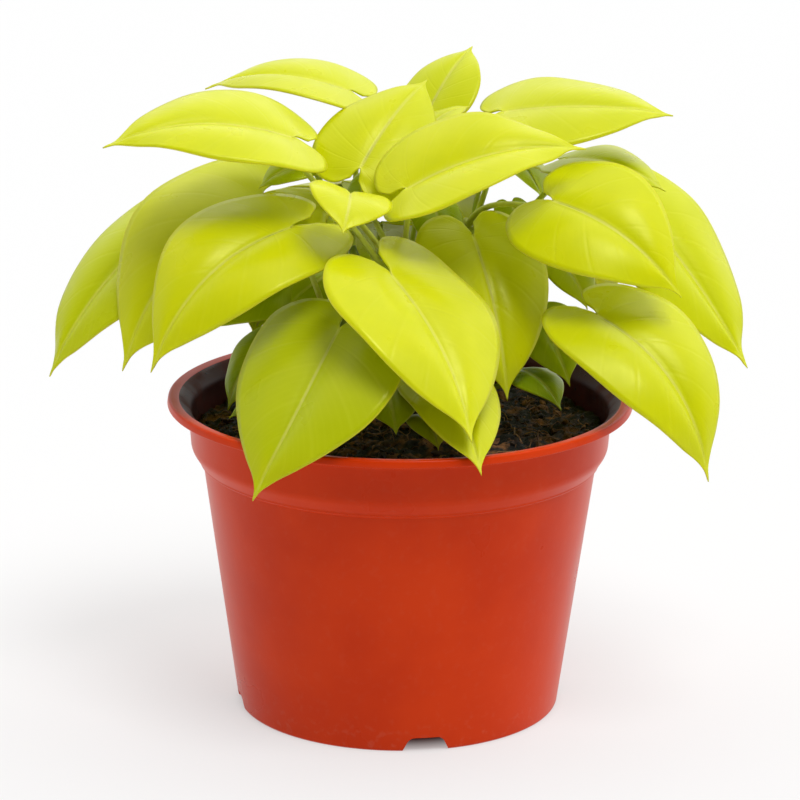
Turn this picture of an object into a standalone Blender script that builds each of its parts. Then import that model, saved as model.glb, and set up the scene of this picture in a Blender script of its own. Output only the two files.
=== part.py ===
"""Potted heart-leaf philodendron: short vines planted in a plastic nursery pot of potting mix.

Units are metres and +Z is up. +X is the plant's right and -Y is its front.
The origin is at the centre of the pot's foot, on the surface that the pot stands on.
"""

import math

import bmesh
import bpy
from mathutils import Matrix, Vector

MM = 0.001

# Pot
RIM_RADIUS = 0.075
POT_HEIGHT = 0.103
FOOT_RADIUS = 0.0522
WALL = 0.0011
COLLAR_HEIGHT = 0.021
COLLAR_RADIUS = 0.0682
SHOULDER_STEP = 0.0045
SHOULDER_HEIGHT = 0.0055
LIP_DEPTH = 0.0026
LIP_WIDTH = 0.0043
FLOOR_LIFT = 0.0055
FLOOR_THICKNESS = 0.0014
NOTCHES = 4
NOTCH_TURN = math.radians(10)
NOTCH_WIDTH = 0.0148
NOTCH_TOP_WIDTH = 0.0105
NOTCH_HEIGHT = 0.0046
DRAIN_RADIUS = 0.0042
CENTRE_DRAIN_RADIUS = 0.005
DRAINS = 8

# Potting mix
MIX_DROP = 0.012
MIX_CROWN = 0.003

# Plant
STEM_RADIUS = 0.0021
STEM_DEPTH = 0.026
PETIOLE_RADIUS = 0.00105
BLADE_THICKNESS = 0.0006
PLANT_OVERHANG = 0.038
PLANT_RISE = 0.105

GAP = 0.0003
AROUND = 48

# The plant was drawn for a rim and a plant of these sizes; a change of either carries it along.
DRAWN_REACH = 0.113
DRAWN_RISE = 0.105

# One half of a heart-shaped blade that is 1 long from the notch where the stalk joins to the
# tip. Each row is (along, across, along_midrib): a point of the edge, and the point of the
# midrib that the side vein to it leaves.
EDGE = (
    (-0.095, 0.045, 0.000),
    (-0.148, 0.135, 0.000),
    (-0.125, 0.258, 0.010),
    (-0.025, 0.352, 0.045),
    (0.120, 0.402, 0.115),
    (0.300, 0.395, 0.235),
    (0.500, 0.322, 0.415),
    (0.690, 0.200, 0.615),
    (0.860, 0.078, 0.810),
)
RINGS = 2
SMALL_BLADE = 0.032

# Vines: points from the surface of the mix up, in millimetres from the centre of the rim's plane.
STEMS = {
    "stem_1": ((-13, -8, -12), (-14, -10, 6), (-18, -11, 22), (-19, -14, 36)),
    "stem_2": ((13, -9, -12), (15, -9, 6), (16, -12, 20), (18, -14, 33)),
    "stem_3": ((-11, 12, -12), (-13, 14, 8), (-12, 18, 26), (-16, 20, 44)),
    "stem_4": ((13, 12, -12), (15, 13, 8), (19, 16, 28), (20, 22, 52)),
    "stem_5": ((0, 1, -12), (1, 2, 10), (-1, 1, 30), (1, 3, 48)),
}

# Leaves, in millimetres from the centre of the rim's plane. Each row is
# name, stem, how far up the stem, stalk end, tip, roll in degrees, width, arch, fold, curl.
LEAVES = (
    ("leaf_01", "stem_1", 0.90, (-3, -38, 49), (22, -78, 7), -5, 1.06, 0.06, 0.00, 0.10),
    ("leaf_02", "stem_2", 0.45, (12, -36, 16), (25, -79, -3), 0, 0.76, 0.08, 0.00, 0.10),
    ("leaf_03", "stem_2", 0.72, (23, 1, 52), (34, -25, 5), 3, 0.96, 0.08, 0.00, 0.10),
    ("leaf_04", "stem_1", 0.55, (-19, -40, 32), (-45, -72, -14), -4, 1.16, 0.07, 0.00, 0.10),
    ("leaf_05", "stem_1", 0.75, (-35, -14, 58), (-78, -38, 17), -24, 0.92, 0.16, 0.04, 0.10),
    ("leaf_06", "stem_3", 0.60, (-45, 19, 61), (-89, -8, 9), -22, 0.98, 0.14, 0.00, 0.10),
    ("leaf_07", "stem_3", 0.42, (-76, 26, 50), (-114, 10, 2), -14, 0.84, 0.08, 0.00, 0.10),
    ("leaf_08", "stem_5", 0.80, (-35, 0, 84), (-94, -12, 83), -18, 0.95, 0.10, 0.03, 0.05),
    ("leaf_09", "stem_3", 0.95, (-18, 41, 91), (-65, 52, 89), -6, 0.98, 0.10, 0.06, 0.05),
    ("leaf_10", "stem_5", 0.95, (-13, 3, 74), (8, 35, 96), 20, 1.10, 0.06, -0.20, 0.10),
    ("leaf_11", "stem_5", 1.00, (2, -14, 71), (58, -8, 83), 22, 0.95, 0.08, 0.16, 0.00),
    ("leaf_12", "stem_4", 0.95, (9, 42, 85), (23, 62, 102), 0, 1.18, 0.06, 0.00, 0.10),
    ("leaf_13", "stem_4", 0.97, (33, 28, 87), (87, 20, 88), 18, 1.05, 0.05, -0.05, 0.10),
    ("leaf_14", "stem_4", 0.70, (54, 36, 70), (85, 16, 64), 10, 0.90, 0.10, 0.00, 0.10),
    ("leaf_15", "stem_4", 1.00, (48, -8, 66), (88, -28, 40), 38, 1.08, 0.12, 0.00, 0.10),
    ("leaf_16", "stem_4", 0.54, (75, 22, 59), (112, 2, 9), 20, 0.82, 0.03, 0.00, 0.10),
    ("leaf_17", "stem_4", 0.48, (62, -20, 32), (97, -42, -16), 22, 0.86, 0.16, 0.02, 0.05),
    ("leaf_18", "stem_5", 0.86, (-16, -22, 71), (-18, -41, 63), -16, 1.60, 0.10, 0.20, 0.10),
    ("leaf_19", "stem_5", 0.70, (9, 26, 83), (22, 32, 88), 0, 1.20, 0.08, 0.00, 0.10),
    ("leaf_20", "stem_5", 0.60, (-2, 19, 67), (-20, 13, 55), -30, 1.10, 0.08, 0.00, 0.20),
    ("leaf_21", "stem_3", 1.00, (-30, 17, 73), (-46, 11, 65), -20, 1.00, 0.08, 0.00, 0.20),
    ("leaf_22", "stem_3", 0.72, (-22, 8, 54), (-36, 0, 43), -20, 0.95, 0.08, 0.00, 0.20),
    ("leaf_23", "stem_4", 0.70, (10, 12, 60), (15, 0, 42), 0, 1.00, 0.08, 0.00, 0.20),
    ("leaf_24", "stem_4", 0.82, (36, 22, 57), (41, 14, 40), 0, 0.95, 0.08, 0.00, 0.20),
    ("leaf_25", "stem_3", 0.22, (-36, 5, 36), (-62, -6, 22), -30, 0.95, 0.10, 0.00, 0.20),
    ("leaf_26", "stem_1", 0.30, (-42, -9, 20), (-55, -14, -2), -20, 0.95, 0.10, 0.00, 0.20),
    ("leaf_27", "stem_1", 0.16, (-38, -25, 7), (-54, -30, 0), -30, 0.80, 0.10, 0.00, 0.20),
    ("leaf_28", "stem_3", 0.40, (-19, 2, 41), (-36, -8, 31), -30, 1.00, 0.08, 0.00, 0.20),
    ("leaf_29", "stem_1", 0.20, (-5, -34, 12), (-1, -60, 4), 0, 1.00, 0.10, 0.00, 0.20),
    ("leaf_30", "stem_2", 0.20, (8, -45, 6), (12, -63, 0), 0, 0.90, 0.10, 0.00, 0.20),
    ("leaf_31", "stem_2", 0.15, (38, -2, 9), (51, -28, 3), 0, 0.80, 0.10, 0.00, 0.20),
    ("leaf_32", "stem_2", 0.40, (44, 6, 26), (54, -18, 8), 10, 0.95, 0.10, 0.00, 0.20),
    ("leaf_33", "stem_4", 0.42, (52, 15, 41), (60, 2, 28), 0, 1.10, 0.10, 0.00, 0.20),
    ("leaf_34", "stem_4", 0.74, (31, 44, 71), (48, 73, 47), 10, 0.95, 0.10, 0.00, 0.20),
    ("leaf_35", "stem_3", 0.33, (-62, 20, 40), (-88, 8, 17), -10, 0.80, 0.10, 0.00, 0.20),
    ("leaf_36", "stem_3", 0.70, (-20, 42, 60), (-32, 78, 26), 0, 0.92, 0.12, 0.00, 0.10),
    ("leaf_37", "stem_4", 0.58, (8, 44, 57), (10, 80, 20), 0, 0.84, 0.12, 0.00, 0.10),
    ("leaf_38", "stem_4", 0.50, (44, 42, 46), (70, 72, 8), 0, 0.90, 0.12, 0.00, 0.10),
    ("leaf_39", "stem_3", 0.80, (-48, 44, 46), (-80, 66, 12), 0, 0.85, 0.12, 0.00, 0.10),
    ("leaf_40", "stem_3", 0.12, (-7, 44, 46), (-9, 79, 13), 0, 0.90, 0.12, 0.00, 0.20),
    ("leaf_41", "stem_4", 0.25, (30, 36, 26), (50, 60, 3), 0, 0.80, 0.12, 0.00, 0.20),
    ("leaf_42", "stem_3", 0.22, (-32, 32, 26), (-50, 54, 4), 0, 0.85, 0.12, 0.00, 0.20),
)

MATERIALS = {
    "pot": ((0.47, 0.035, 0.012), 0.38),
    "mix": ((0.022, 0.012, 0.007), 0.95),
    "stem": ((0.20, 0.28, 0.02), 0.50),
    "leaf": ((0.52, 0.60, 0.010), 0.40),
}


def clear_scene():
    for old in list(bpy.data.objects):
        bpy.data.objects.remove(old, do_unlink=True)


def collection(name, hidden=False):
    made = bpy.data.collections.new(name)
    made.hide_render = hidden
    bpy.context.scene.collection.children.link(made)
    return made


def material(name):
    colour, roughness = MATERIALS[name]
    made = bpy.data.materials.new(name)
    made.use_nodes = True
    shader = made.node_tree.nodes["Principled BSDF"]
    shader.inputs["Base Color"].default_value = (*colour, 1.0)
    shader.inputs["Roughness"].default_value = roughness
    shader.inputs["Metallic"].default_value = 0.0
    return made


def add_object(name, mesh, where, look=None):
    made = bpy.data.objects.new(name, mesh)
    where.objects.link(made)
    if look:
        mesh.materials.append(look)
    return made


def turned(name, profile, where, look=None):
    """A profile of (radius, height) points turned about +Z."""
    mesh = bpy.data.meshes.new(name)
    edges = [(i, i + 1) for i in range(len(profile) - 1)]
    mesh.from_pydata([(r, 0.0, z) for r, z in profile], edges, [])
    made = add_object(name, mesh, where, look)
    screw = made.modifiers.new("Turn", "SCREW")
    screw.steps = AROUND
    screw.render_steps = AROUND
    screw.use_merge_vertices = True
    screw.merge_threshold = 0.00005
    screw.use_smooth_shade = True
    return made


def as_mesh(made):
    """Swaps an object for one that holds its evaluated mesh, welded, with no modifiers."""
    graph = bpy.context.evaluated_depsgraph_get()
    mesh = bpy.data.meshes.new_from_object(made.evaluated_get(graph))
    name = made.name
    home = made.users_collection[0]
    matrix = made.matrix_world.copy()
    bpy.data.objects.remove(made, do_unlink=True)
    welded = bmesh.new()
    welded.from_mesh(mesh)
    bmesh.ops.remove_doubles(welded, verts=welded.verts, dist=0.00001)
    bmesh.ops.recalc_face_normals(welded, faces=welded.faces)
    welded.to_mesh(mesh)
    welded.free()
    mesh.name = name
    fresh = add_object(name, mesh, home)
    fresh.matrix_world = matrix
    return fresh


def boolean(target, other, operation="DIFFERENCE"):
    made = target.modifiers.new(operation.title() + " " + other.name, "BOOLEAN")
    made.operation = operation
    made.solver = "EXACT"
    made.object = other
    other.hide_render = True
    other.display_type = "WIRE"


def smooth_route(points, count):
    """Evenly numbered points on a Catmull-Rom curve through the given ones."""
    knots = [Vector(p) for p in points]
    first = knots[0] * 2 - knots[1]
    last = knots[-1] * 2 - knots[-2]
    knots = [first, *knots, last]
    route = []
    for step in range(count):
        along = step / (count - 1) * (len(knots) - 3)
        span = min(int(along), len(knots) - 4)
        t = along - span
        a, b, c, d = knots[span:span + 4]
        route.append(0.5 * ((2 * b) + (c - a) * t + (2 * a - 5 * b + 4 * c - d) * t ** 2
                            + (3 * b - a - 3 * c + d) * t ** 3))
    return route


def tube(name, route, radius, where, sides=2, look=None):
    curve = bpy.data.curves.new(name, "CURVE")
    curve.dimensions = "3D"
    curve.bevel_depth = radius
    curve.bevel_resolution = sides
    curve.use_fill_caps = True
    spline = curve.splines.new("POLY")
    spline.points.add(len(route) - 1)
    for point, place in zip(spline.points, route):
        point.co = (*place, 1.0)
    return add_object(name, curve, where, look)


# ---- pot ---------------------------------------------------------------------------------


def body_radius(height):
    """Outside of the tapered body, below the collar."""
    top = POT_HEIGHT - COLLAR_HEIGHT
    share = height / top
    return FOOT_RADIUS + (COLLAR_RADIUS - SHOULDER_STEP - FOOT_RADIUS) * share


def bore_radius(height):
    """Inside of the wall, which follows the outside at one thickness."""
    shoulder = POT_HEIGHT - COLLAR_HEIGHT
    if height <= shoulder:
        return body_radius(height) - WALL
    if height >= shoulder + SHOULDER_HEIGHT:
        return COLLAR_RADIUS - WALL
    share = (height - shoulder) / SHOULDER_HEIGHT
    return COLLAR_RADIUS - SHOULDER_STEP * (1 - share) - WALL


def make_pot(parts, cutters, look):
    shoulder = POT_HEIGHT - COLLAR_HEIGHT
    floor = FLOOR_LIFT + FLOOR_THICKNESS
    flare = COLLAR_RADIUS - WALL
    lip_root = POT_HEIGHT - LIP_DEPTH - 0.0006
    lip_inner = RIM_RADIUS - LIP_WIDTH
    profile = (
        (0.0, floor),
        (bore_radius(floor), floor),
        (bore_radius(shoulder), shoulder),
        (bore_radius(shoulder + SHOULDER_HEIGHT * 0.6), shoulder + SHOULDER_HEIGHT * 0.6),
        (flare, shoulder + SHOULDER_HEIGHT),
        (flare, lip_root - 0.0004),
        (flare + (lip_inner - flare) * 0.55, POT_HEIGHT - 0.0012),
        (lip_inner, POT_HEIGHT - 0.0002),
        (lip_inner + 0.0008, POT_HEIGHT),
        (RIM_RADIUS - 0.0010, POT_HEIGHT - 0.0001),
        (RIM_RADIUS - 0.0002, POT_HEIGHT - 0.0005),
        (RIM_RADIUS, POT_HEIGHT - 0.0011),
        (RIM_RADIUS, POT_HEIGHT - LIP_DEPTH),
        (RIM_RADIUS - 0.0009, POT_HEIGHT - LIP_DEPTH),
        (RIM_RADIUS - 0.0016, POT_HEIGHT - LIP_DEPTH + 0.0008),
        (COLLAR_RADIUS + 0.0006, lip_root),
        (COLLAR_RADIUS, lip_root - 0.0008),
        (COLLAR_RADIUS - 0.0006, shoulder + SHOULDER_HEIGHT),
        (COLLAR_RADIUS - SHOULDER_STEP * 0.45, shoulder + SHOULDER_HEIGHT * 0.42),
        (COLLAR_RADIUS - SHOULDER_STEP + 0.0003, shoulder),
        (body_radius(shoulder - 0.0006), shoulder - 0.0006),
        (body_radius(0.0008), 0.0008),
        (FOOT_RADIUS - 0.0004, 0.0),
        (FOOT_RADIUS - WALL - 0.0012, 0.0),
        (FOOT_RADIUS - WALL - 0.0012, FLOOR_LIFT),
        (0.0, FLOOR_LIFT),
    )
    pot = turned("pot", profile, parts, look)
    for number in range(NOTCHES):
        boolean(pot, make_notch(number, cutters))
    for number in range(DRAINS):
        turn = math.tau * (number + 0.5) / DRAINS + NOTCH_TURN
        reach = FOOT_RADIUS * 0.62
        place = (reach * math.cos(turn), reach * math.sin(turn), floor)
        boolean(pot, make_drain(f"drain_cutter_{number + 1}", place, DRAIN_RADIUS, cutters))
    centre = (0.0, 0.0, floor)
    boolean(pot, make_drain("drain_cutter_centre", centre, CENTRE_DRAIN_RADIUS, cutters))
    return pot


def make_notch(number, cutters):
    """A wedge through the foot ring, narrower at its top."""
    mesh = bpy.data.meshes.new("notch")
    shape = bmesh.new()
    bmesh.ops.create_cube(shape, size=1.0)
    for vert in shape.verts:
        high = vert.co.z > 0
        width = NOTCH_TOP_WIDTH if high else NOTCH_WIDTH + 0.002
        vert.co.x *= width
        vert.co.y *= 0.012
        vert.co.z = NOTCH_HEIGHT if high else -0.002
    shape.to_mesh(mesh)
    shape.free()
    notch = add_object(f"notch_cutter_{number + 1}", mesh, cutters)
    turn = NOTCH_TURN + math.tau * number / NOTCHES
    notch.rotation_euler = (0.0, 0.0, turn)
    notch.location = Matrix.Rotation(turn, 3, "Z") @ Vector((0.0, -FOOT_RADIUS, 0.0))
    return notch


def make_drain(name, place, radius, cutters):
    mesh = bpy.data.meshes.new(name)
    shape = bmesh.new()
    bmesh.ops.create_cone(shape, cap_ends=True, segments=16, radius1=radius, radius2=radius,
                          depth=FLOOR_THICKNESS * 4)
    shape.to_mesh(mesh)
    shape.free()
    made = add_object(name, mesh, cutters)
    made.location = place
    return made


# ---- potting mix -------------------------------------------------------------------------


def make_mix(parts, cutters, look):
    floor = FLOOR_LIFT + FLOOR_THICKNESS + GAP
    level = POT_HEIGHT - MIX_DROP
    shoulder = POT_HEIGHT - COLLAR_HEIGHT
    profile = [(0.0, level + MIX_CROWN)]
    for share in (0.25, 0.5, 0.72, 0.88):
        reach = bore_radius(level) * share
        profile.append((reach, level + MIX_CROWN * (1 - share ** 2) + 0.0004 * math.sin(share * 19)))
    profile.append((bore_radius(level) - GAP - 0.0012, level))
    profile.append((bore_radius(level - 0.0012) - GAP, level - 0.0012))
    if shoulder + SHOULDER_HEIGHT < level - 0.0012:
        over = shoulder + SHOULDER_HEIGHT
        profile.append((bore_radius(over) - GAP, over))
    profile.append((bore_radius(shoulder) - GAP, shoulder))
    profile.append((bore_radius(floor) - GAP, floor))
    profile.append((0.0, floor))
    mix = turned("potting_mix", profile, parts, look)
    for name in STEMS:
        route = stem_route(name)
        pocket_route = [route[0] - Vector((0, 0, GAP)), *route[1:3]]
        pocket = tube(name.replace("stem", "stem_pocket"), pocket_route, STEM_RADIUS + GAP, cutters)
        boolean(mix, as_mesh(pocket))
    return mix


# ---- plant -------------------------------------------------------------------------------


def placed(point):
    """A point given in millimetres from the centre of the rim's plane, on this pot and plant."""
    spread = (RIM_RADIUS + PLANT_OVERHANG) / DRAWN_REACH
    rise = PLANT_RISE / DRAWN_RISE
    x, y, z = point
    return Vector((x * spread * MM, y * spread * MM, POT_HEIGHT + z * rise * MM))


def stem_route(name):
    """From the buried cut end, straight up through the mix, then along the vine."""
    above = [placed(p) for p in STEMS[name]]
    level = POT_HEIGHT - MIX_DROP
    foot = Vector((above[0].x, above[0].y, level - STEM_DEPTH))
    neck = Vector((above[0].x, above[0].y, level + MIX_CROWN + 0.002))
    return [foot, neck.lerp(foot, 0.2), neck, *smooth_route([neck, *above[1:]], 7)[1:]]


def stem_point(name, share):
    above = [placed(p) for p in STEMS[name]]
    route = smooth_route(above, 41)
    return route[round(share * 40)]


def blade_frame(base, tip, roll):
    """Length, and the directions along, across to the left and out of the upper side."""
    chord = tip - base
    along = chord.normalized()
    up = Vector((0, 0, 1))
    normal = (up - along * along.dot(up)).normalized()
    normal.rotate(Matrix.Rotation(math.radians(roll), 3, along))
    return chord.length, along, normal.cross(along), normal


def blade_height(along, across, arch, fold, curl):
    """Rise of the blade over its chord, for a blade 1 long."""
    rise = 4 * arch * along * (1 - along)
    return rise + fold * abs(across) - curl * across ** 2


def blade_mesh(name, base, tip, roll, width, arch, fold, curl):
    length, along, left, normal = blade_frame(base, tip, roll)
    rings = RINGS if length > SMALL_BLADE else 1

    def place(x, y):
        z = blade_height(x, y, arch, fold, curl)
        return base + (along * x + left * y * width + normal * z) * length

    shape = bmesh.new()
    notch = shape.verts.new(place(0.0, 0.0))
    end = shape.verts.new(place(1.0, 0.0))
    midrib = {}
    for _, _, root in EDGE:
        if root > 0 and root not in midrib:
            midrib[root] = shape.verts.new(place(root, 0.0))
    for side in (1, -1):
        rays = []
        for x, y, root in EDGE:
            first = midrib.get(root, notch)
            ray = [first]
            for ring in range(1, rings + 1):
                share = ring / rings
                ray.append(shape.verts.new(place(root + (x - root) * share, side * y * share)))
            rays.append(ray)
        for near, far in zip(rays, rays[1:]):
            for ring in range(rings):
                corners = [near[ring], near[ring + 1], far[ring + 1], far[ring]]
                add_face(shape, corners, side)
        last = rays[-1]
        for ring in range(rings):
            add_face(shape, [last[ring], last[ring + 1], end], side)
    shape.normal_update()
    mesh = bpy.data.meshes.new(name)
    shape.to_mesh(mesh)
    shape.free()
    return mesh


def add_face(shape, corners, side):
    unique = list(dict.fromkeys(corners))
    if side > 0:
        unique.reverse()
    shape.faces.new(unique)


def petiole_route(stem, share, base, tip, roll, arch):
    """From beside the vine, up and out, to under the foot of the midrib."""
    length, along, _, normal = blade_frame(base, tip, roll)
    root = stem_point(stem, share)
    away = base - root
    flat = Vector((away.x, away.y, 0)).normalized()
    start = root + flat * (STEM_RADIUS + GAP + PETIOLE_RADIUS * 0.8)
    under = base + (along * 0.05 + normal * blade_height(0.05, 0, arch, 0, 0)) * length
    end = under - normal * BLADE_THICKNESS * 0.6
    reach = (end - start).length
    second = start + flat * reach * 0.16 + Vector((0, 0, 0.30)) * reach
    third = end - normal * reach * 0.30 - along * reach * 0.16
    route = []
    for step in range(6):
        t = step / 5
        u = 1 - t
        route.append(start * u ** 3 + second * 3 * u * u * t + third * 3 * u * t * t + end * t ** 3)
    return route


def make_leaf(row, parts, helpers, look):
    name, stem, share, base, tip, roll, width, arch, fold, curl = row
    base = placed(base)
    tip = placed(tip)
    mesh = blade_mesh(name, base, tip, roll, width, arch, fold, curl)
    mesh.shade_smooth()
    leaf = add_object(name, mesh, parts, look)
    skin = leaf.modifiers.new("Thickness", "SOLIDIFY")
    skin.thickness = BLADE_THICKNESS
    skin.offset = 0.0
    route = petiole_route(stem, share, base, tip, roll, arch)
    petiole = as_mesh(tube(name.replace("leaf", "petiole"), route, PETIOLE_RADIUS, helpers, sides=1))
    boolean(leaf, petiole, "UNION")
    return leaf


def main():
    clear_scene()
    parts = collection("potted_philodendron")
    cutters = collection("cutters", hidden=True)
    helpers = collection("joined_shapes", hidden=True)
    make_pot(parts, cutters, material("pot"))
    make_mix(parts, cutters, material("mix"))
    stem_look = material("stem")
    for name in STEMS:
        tube(name, stem_route(name), STEM_RADIUS, parts, look=stem_look)
    leaf_look = material("leaf")
    for row in LEAVES:
        make_leaf(row, parts, helpers, leaf_look)


main()
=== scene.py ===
"""Potted heart-leaf philodendron with lime leaves, in a plastic nursery pot of potting mix."""

import math
import random

import bmesh
import bpy
from mathutils import Matrix, Vector, noise


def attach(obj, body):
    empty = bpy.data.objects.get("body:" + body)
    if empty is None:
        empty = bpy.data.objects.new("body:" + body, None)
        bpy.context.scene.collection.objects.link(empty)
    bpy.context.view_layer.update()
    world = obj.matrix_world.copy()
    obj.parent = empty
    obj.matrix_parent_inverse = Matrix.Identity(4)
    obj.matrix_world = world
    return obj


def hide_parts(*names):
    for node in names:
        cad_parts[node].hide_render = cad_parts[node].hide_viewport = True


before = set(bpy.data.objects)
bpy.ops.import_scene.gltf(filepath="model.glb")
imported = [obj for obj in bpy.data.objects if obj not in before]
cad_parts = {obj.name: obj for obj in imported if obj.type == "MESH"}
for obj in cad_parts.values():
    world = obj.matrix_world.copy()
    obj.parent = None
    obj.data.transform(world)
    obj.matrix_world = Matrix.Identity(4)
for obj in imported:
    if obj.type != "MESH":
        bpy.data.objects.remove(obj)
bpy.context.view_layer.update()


# ---- Studio ------------------------------------------------------------------------------
# A pale table top in a white room that is dim behind the camera and brighter overhead and on
# the right, with one large soft lamp high in front. The camera looks down a little on the pot
# from 1.3 m away.

TABLE_SIZE = 20.0
TABLE_TONE = 0.34
TABLE_GLOW = 0.53
GLOW_STARTS = 0.040
GLOW_IS_FULL = 0.055
ROOM_DIM, ROOM_DIM_AT = 0.12, -0.75
ROOM_BRIGHT, ROOM_BRIGHT_AT = 1.16, 0.55
CEILING_GAIN, WALL_LEVEL = 0.80, 0.70
RIGHT_GAIN = 0.36
CAMERA_DISTANCE = 1.2936
CAMERA_RISE = math.radians(15.96)
CAMERA_ROLL = math.radians(0.46)
LOOKED_AT = Vector((0.0, 0.0, 0.1009))
LENS = 180.5
LAMP_STRENGTH = 1.75
LAMP_WIDTH = math.radians(28)
LAMP_STANDS = Vector((0.22, -0.42, 1.0))

scene = bpy.context.scene
scene.view_settings.view_transform = "Standard"

bpy.ops.mesh.primitive_plane_add(size=TABLE_SIZE)
table = bpy.context.object
table.name = "table_top"

# The table gives off a little light of its own, but none under the pot, so the notch is dark.
table_paint = bpy.data.materials.new("table_paint")
table_paint.use_nodes = True
tree = table_paint.node_tree
paint = tree.nodes["Principled BSDF"]
paint.inputs["Base Color"].default_value = (TABLE_TONE, TABLE_TONE, TABLE_TONE, 1.0)
paint.inputs["Emission Color"].default_value = (1.0, 1.0, 1.0, 1.0)
distance = tree.nodes.new("ShaderNodeVectorMath")
distance.operation = "LENGTH"
glow = tree.nodes.new("ShaderNodeMapRange")
glow.interpolation_type = "SMOOTHSTEP"
for label, value in (("From Min", GLOW_STARTS), ("From Max", GLOW_IS_FULL),
                     ("To Min", 0.0), ("To Max", TABLE_GLOW)):
    glow.inputs[label].default_value = value
place = tree.nodes.new("ShaderNodeTexCoord")
tree.links.new(place.outputs["Object"], distance.inputs[0])
tree.links.new(distance.outputs["Value"], glow.inputs["Value"])
tree.links.new(glow.outputs["Result"], paint.inputs["Emission Strength"])
paint.inputs["Roughness"].default_value = 1.0
paint.inputs["Specular IOR Level"].default_value = 0.0
table.data.materials.append(table_paint)

white_room = bpy.data.worlds.new("white_room")
white_room.use_nodes = True
room = white_room.node_tree.nodes["Background"]
room.inputs["Color"].default_value = (1.0, 1.0, 1.0, 1.0)
nodes, links = white_room.node_tree.nodes, white_room.node_tree.links
direction = nodes.new("ShaderNodeTexCoord")
facing = nodes.new("ShaderNodeSeparateXYZ")
brightness = nodes.new("ShaderNodeMapRange")
brightness.interpolation_type = "SMOOTHSTEP"
links.new(direction.outputs["Generated"], facing.inputs[0])
links.new(facing.outputs["Y"], brightness.inputs["Value"])
for label, value in (("From Min", ROOM_DIM_AT), ("From Max", ROOM_BRIGHT_AT),
                     ("To Min", ROOM_DIM), ("To Max", ROOM_BRIGHT)):
    brightness.inputs[label].default_value = value


def room_sum(operation, *values):
    """One sum on the room's brightness, from sockets or plain numbers."""
    made = nodes.new("ShaderNodeMath")
    made.operation = operation
    for socket, value in zip(made.inputs, values):
        if isinstance(value, bpy.types.NodeSocket):
            links.new(value, socket)
        else:
            socket.default_value = value
    return made.outputs[0]


overhead = room_sum("MULTIPLY_ADD", facing.outputs["Z"], CEILING_GAIN, WALL_LEVEL)
sideways = room_sum("MULTIPLY_ADD", facing.outputs["X"], RIGHT_GAIN, 1.0)
across = room_sum("MULTIPLY", brightness.outputs["Result"], sideways)
links.new(room_sum("MULTIPLY", across, overhead), room.inputs["Strength"])
scene.world = white_room

camera_data = bpy.data.cameras.new("camera")
camera_data.lens = LENS
camera_data.sensor_width = 36.0
camera = bpy.data.objects.new("camera", camera_data)
scene.collection.objects.link(camera)
from_pot = Vector((0.0, -math.cos(CAMERA_RISE), math.sin(CAMERA_RISE)))
camera.location = LOOKED_AT + from_pot * CAMERA_DISTANCE
aim = (LOOKED_AT - camera.location).to_track_quat("-Z", "Y")
camera.rotation_euler = (aim.to_matrix() @ Matrix.Rotation(CAMERA_ROLL, 3, "Z")).to_euler()
scene.camera = camera

key_data = bpy.data.lights.new("key_light", "SUN")
key_data.energy = LAMP_STRENGTH
key_data.angle = LAMP_WIDTH
key = bpy.data.objects.new("key_light", key_data)
key.rotation_euler = LAMP_STANDS.to_track_quat("Z", "Y").to_euler()
scene.collection.objects.link(key)


# ---- Pot ---------------------------------------------------------------------------------
# A thin-walled nursery pot, injection moulded in brick-red plastic: a tapered body, a stepped
# collar that stiffens the top, a rolled lip, and a notched foot that lets the water out.

RIM = 0.075
POT_HEIGHT = 0.103
FOOT = 0.0522
WALL = 0.0011
COLLAR_HEIGHT = 0.021
COLLAR = 0.0682
SHOULDER_STEP = 0.0045
SHOULDER_HEIGHT = 0.0055
LIP_DEPTH = 0.0026
LIP_WIDTH = 0.0043
FLOOR_LIFT = 0.0055
FLOOR_THICKNESS = 0.0014
NOTCH_COUNT = 4
NOTCH_TURN = math.radians(10)
NOTCH_WIDTH = 0.0148
NOTCH_TOP = 0.0105
NOTCH_HEIGHT = 0.0046
NOTCH_SOFTNESS = 0.0016
DRAIN_COUNT = 8
DRAIN_CIRCLE = FOOT * 0.62
DRAIN_RADIUS = 0.0042
MIDDLE_DRAIN_RADIUS = 0.0050
TURNING_STEPS = 192
SHARP_EDGE = math.radians(36)
SHOULDER = POT_HEIGHT - COLLAR_HEIGHT


def body_radius(height):
    return FOOT + (COLLAR - SHOULDER_STEP - FOOT) * height / SHOULDER


def rounded(corners):
    """A chain of points through (radius, height, softness) corners, each eased by its softness."""
    chain = [Vector(corners[0][:2])]
    for before, here, after in zip(corners, corners[1:], corners[2:]):
        corner = Vector(here[:2])
        back = Vector(before[:2]) - corner
        ahead = Vector(after[:2]) - corner
        reach = min(here[2], back.length * 0.48, ahead.length * 0.48)
        start = corner + back.normalized() * reach
        end = corner + ahead.normalized() * reach
        for step in range(6):
            t = step / 5
            chain.append(start * (1 - t) ** 2 + corner * 2 * t * (1 - t) + end * t ** 2)
    chain.append(Vector(corners[-1][:2]))
    return chain


def turned_shape(corners, steps):
    """Turns a rounded profile about the upright axis into a closed shape."""
    shape = bmesh.new()
    chain = [shape.verts.new((p.x, 0.0, p.y)) for p in rounded(corners)]
    edges = [shape.edges.new(pair) for pair in zip(chain, chain[1:])]
    bmesh.ops.spin(shape, geom=chain + edges, angle=math.tau, steps=steps, axis=(0, 0, 1),
                   cent=(0, 0, 0), use_merge=True)
    bmesh.ops.remove_doubles(shape, verts=shape.verts, dist=0.00002)
    bmesh.ops.recalc_face_normals(shape, faces=shape.faces)
    return shape


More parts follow.
